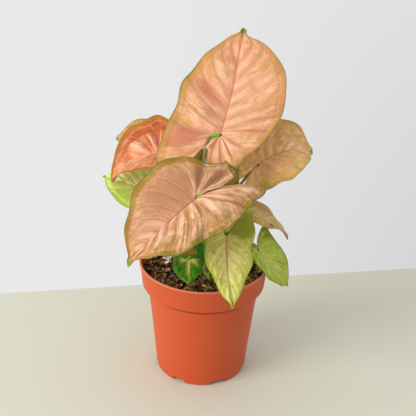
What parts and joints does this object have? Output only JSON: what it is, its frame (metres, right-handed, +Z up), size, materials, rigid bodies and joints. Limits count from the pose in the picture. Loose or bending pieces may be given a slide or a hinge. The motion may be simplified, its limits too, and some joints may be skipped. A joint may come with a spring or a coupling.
{
  "type": "potted syngonium",
  "caption": "Potted arrowhead plant: pink, beige and green arrow-shaped leaves on bent stalks, growing from short stems in a round banded nursery pot of soil.",
  "frame": {"origin": "centre of the underside of the pot's base, on the surface it stands on", "axes": "+Z is up along the pot's axis, +X is to the plant's right and -Y is towards its front, the side the lowest large leaf hangs over"},
  "size_m": [0.1695, 0.2005, 0.2613],
  "materials": {
    "pot": "satin terracotta-coloured plastic",
    "soil": "damp crumbly peat mix",
    "stem": "smooth living stem",
    "stalk": "smooth living stalk",
    "blade_top": "soft sheen of a living leaf",
    "blade_front": "soft sheen of a living leaf",
    "blade_left": "soft sheen of a living leaf",
    "blade_left_back": "soft sheen of a living leaf",
    "blade_left_low": "soft sheen of a living leaf",
    "blade_right": "soft sheen of a living leaf",
    "blade_right_middle": "soft sheen of a living leaf",
    "blade_right_low": "soft sheen of a living leaf",
    "blade_centre": "soft sheen of a living leaf",
    "blade_small": "soft sheen of a living leaf",
    "blade_young_brown": "soft sheen of a living leaf",
    "blade_young_green": "soft sheen of a living leaf"
  },
  "bodies": {
    "root": {"nursery_pot": "pot", "potting_soil": "soil", "stem_1": "stem", "stem_2": "stem", "stem_3": "stem", "petiole_top": "stalk", "petiole_front": "stalk", "petiole_left": "stalk", "petiole_left_back": "stalk", "petiole_left_low": "stalk", "petiole_right": "stalk", "petiole_right_middle": "stalk", "petiole_right_low": "stalk", "petiole_centre": "stalk", "petiole_small": "stalk", "petiole_young_brown": "stalk", "petiole_young_green": "stalk", "leaf_top": "blade_top", "leaf_front": "blade_front", "leaf_left": "blade_left", "leaf_left_back": "blade_left_back", "leaf_left_low": "blade_left_low", "leaf_right": "blade_right", "leaf_right_middle": "blade_right_middle", "leaf_right_low": "blade_right_low", "leaf_centre": "blade_centre", "leaf_small": "blade_small", "leaf_young_brown": "blade_young_brown", "leaf_young_green": "blade_young_green"}
  },
  "joints": []
}
